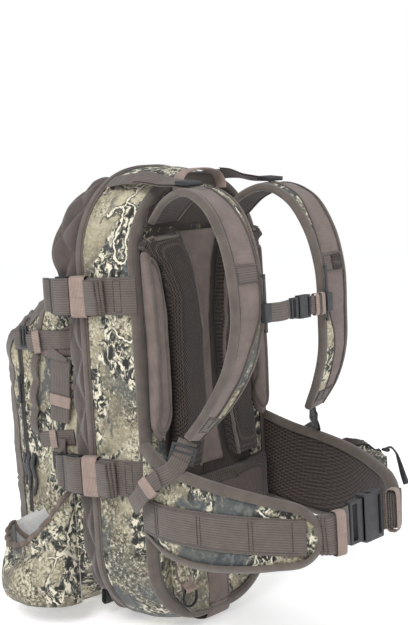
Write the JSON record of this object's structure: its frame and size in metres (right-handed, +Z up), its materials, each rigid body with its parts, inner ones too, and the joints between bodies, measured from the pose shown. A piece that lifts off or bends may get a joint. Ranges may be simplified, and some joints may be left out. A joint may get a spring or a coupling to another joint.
{
  "type": "hunting backpack",
  "caption": "Bow-carrying hunting backpack with padded harness, hip belt, quilted bow sleeve and a front bag that folds open.",
  "frame": {"origin": "on the ground plane, under the middle of the rear shell's harness face", "axes": "+Z up, +Y from the harness towards the front pack, +X towards the wearer's left"},
  "size_m": [0.3666, 0.6009, 0.6425],
  "materials": {
    "binding": "folded edge binding",
    "black_webbing": "black nylon webbing",
    "brown_fabric": "brushed woven polyester, slight sheen",
    "buckle_plastic": "moulded acetal, satin",
    "camo_fabric": "woven polyester, camouflage print",
    "frame_plastic": "sheet polyethylene",
    "keeper_elastic": "elastic webbing",
    "mesh": "air mesh over foam",
    "quilted_lining": "quilted lining fabric",
    "stay_metal": "flat bar",
    "steel_ring": "black coated wire",
    "webbing": "ribbed nylon webbing",
    "zip": "coil zip on woven tape"
  },
  "bodies": {
    "rear_pack": {"rear_shell": "camo_fabric", "frame_sheet": "frame_plastic", "frame_stays": "stay_metal", "seam_binding": "binding", "quilted_sleeve": "quilted_lining", "wing_pads": "brown_fabric", "mesh_pads": "mesh", "spine_pad": "brown_fabric", "yoke_panel": "mesh", "lumbar_pad": "mesh", "shoulder_strap_right": "brown_fabric", "shoulder_strap_left": "brown_fabric", "top_webs": "webbing", "load_lifter_buckles": "buckle_plastic", "hip_pad_roots": "camo_fabric", "strap_webs": "webbing", "compression_webs": "webbing", "compression_tails": "webbing", "compression_keepers": "keeper_elastic", "compression_sockets": "buckle_plastic", "base_webbing": "webbing", "boot_pocket": "camo_fabric", "sternum_rails": "buckle_plastic"},
    "front_pack": {"front_pack_shell": "camo_fabric", "front_binding": "binding", "front_pocket": "camo_fabric", "pack_zips": "zip", "bottle_pocket_right": "camo_fabric", "bottle_pocket_left": "camo_fabric", "pocket_cuffs": "binding", "side_keepers": "keeper_elastic", "pack_ladderlocks": "buckle_plastic", "side_webbing": "webbing", "cord_pulls": "black_webbing", "lash_straps": "black_webbing", "compression_tongues": "buckle_plastic", "compression_anchor_webs": "webbing"},
    "belt_right": {"hip_pad_right": "camo_fabric", "hip_webbing_right": "webbing", "hip_strap_right": "webbing", "hip_keeper_right": "keeper_elastic"},
    "belt_left": {"hip_pad_left": "camo_fabric", "hip_webbing_left": "webbing", "hip_strap_left": "webbing", "hip_keeper_left": "keeper_elastic", "hip_socket": "buckle_plastic", "hip_pocket": "camo_fabric"},
    "belt_tongue": {"hip_tongue": "buckle_plastic"},
    "belt_zip": {"hip_zip_pull": "zip"},
    "sternum": {"sternum_sliders": "buckle_plastic", "sternum_webs": "webbing", "sternum_socket": "buckle_plastic", "sternum_keeper": "keeper_elastic"},
    "sternum_clip": {"sternum_tongue": "buckle_plastic"},
    "haul_loop": {"haul_loop": "keeper_elastic"},
    "right_ladderlock": {"ladderlock_right": "buckle_plastic"},
    "left_ladderlock": {"ladderlock_left": "buckle_plastic"},
    "d_ring": {"d_ring": "steel_ring"},
    "main_slider": {"main_zip_slider": "zip"},
    "pocket_slider": {"pocket_zip_slider": "zip"}
  },
  "joints": [
    {"name": "front_pack_fold", "type": "hinge", "parent": "rear_pack", "child": "front_pack", "pos_m": [0, 0.14, 0.02], "axis": [-1, 0, 0], "range_deg": [0, 60]},
    {"name": "belt_right_swing", "type": "hinge", "parent": "rear_pack", "child": "belt_right", "pos_m": [-0.1485, -0.1003, 0.2], "axis": [0, 0, -1], "range_deg": [0, 35]},
    {"name": "belt_left_swing", "type": "hinge", "parent": "rear_pack", "child": "belt_left", "pos_m": [0.1485, -0.1003, 0.2], "axis": [0, 0, 1], "range_deg": [0, 35]},
    {"name": "hip_buckle_release", "type": "slide", "parent": "belt_right", "child": "belt_tongue", "axis": [-1, 0, 0], "range_m": [0, 0.024]},
    {"name": "belt_zip_slide", "type": "slide", "parent": "belt_left", "child": "belt_zip", "axis": [-0.3511, -0.9363, 0], "range_m": [0, 0.02]},
    {"name": "sternum_height", "type": "slide", "parent": "rear_pack", "child": "sternum", "axis": [0, 0, 1], "range_m": [-0.008, 0.03]},
    {"name": "sternum_release", "type": "slide", "parent": "sternum", "child": "sternum_clip", "axis": [-1, 0, 0], "range_m": [0, 0.012]},
    {"name": "haul_loop_swing", "type": "hinge", "parent": "rear_pack", "child": "haul_loop", "pos_m": [0, -0.0102, 0.606], "axis": [1, 0, 0], "range_deg": [0, 80], "stiffness_Nm_per_rad": 0.004},
    {"name": "right_ladderlock_tilt", "type": "hinge", "parent": "rear_pack", "child": "right_ladderlock", "pos_m": [-0.134, -0.084, 0.283], "axis": [0.5919, -0.7399, -0.3196], "range_deg": [0, 25]},
    {"name": "left_ladderlock_tilt", "type": "hinge", "parent": "rear_pack", "child": "left_ladderlock", "pos_m": [0.134, -0.084, 0.283], "axis": [-0.5919, -0.7399, -0.3196], "range_deg": [-25, 0]},
    {"name": "d_ring_swing", "type": "hinge", "parent": "rear_pack", "child": "d_ring", "pos_m": [-0.075, -0.0185, 0.069], "axis": [-1, 0, 0], "range_deg": [0, 80]},
    {"name": "main_zip_slide", "type": "slide", "parent": "front_pack", "child": "main_slider", "axis": [0, 0, -1], "range_m": [0, 0.055]},
    {"name": "pocket_zip_slide", "type": "slide", "parent": "front_pack", "child": "pocket_slider", "axis": [1, 0, 0], "range_m": [0, 0.11]}
  ],
  "couplings": [
    {"joint": "belt_left_swing", "follows": "belt_right_swing", "ratio": 1}
  ]
}
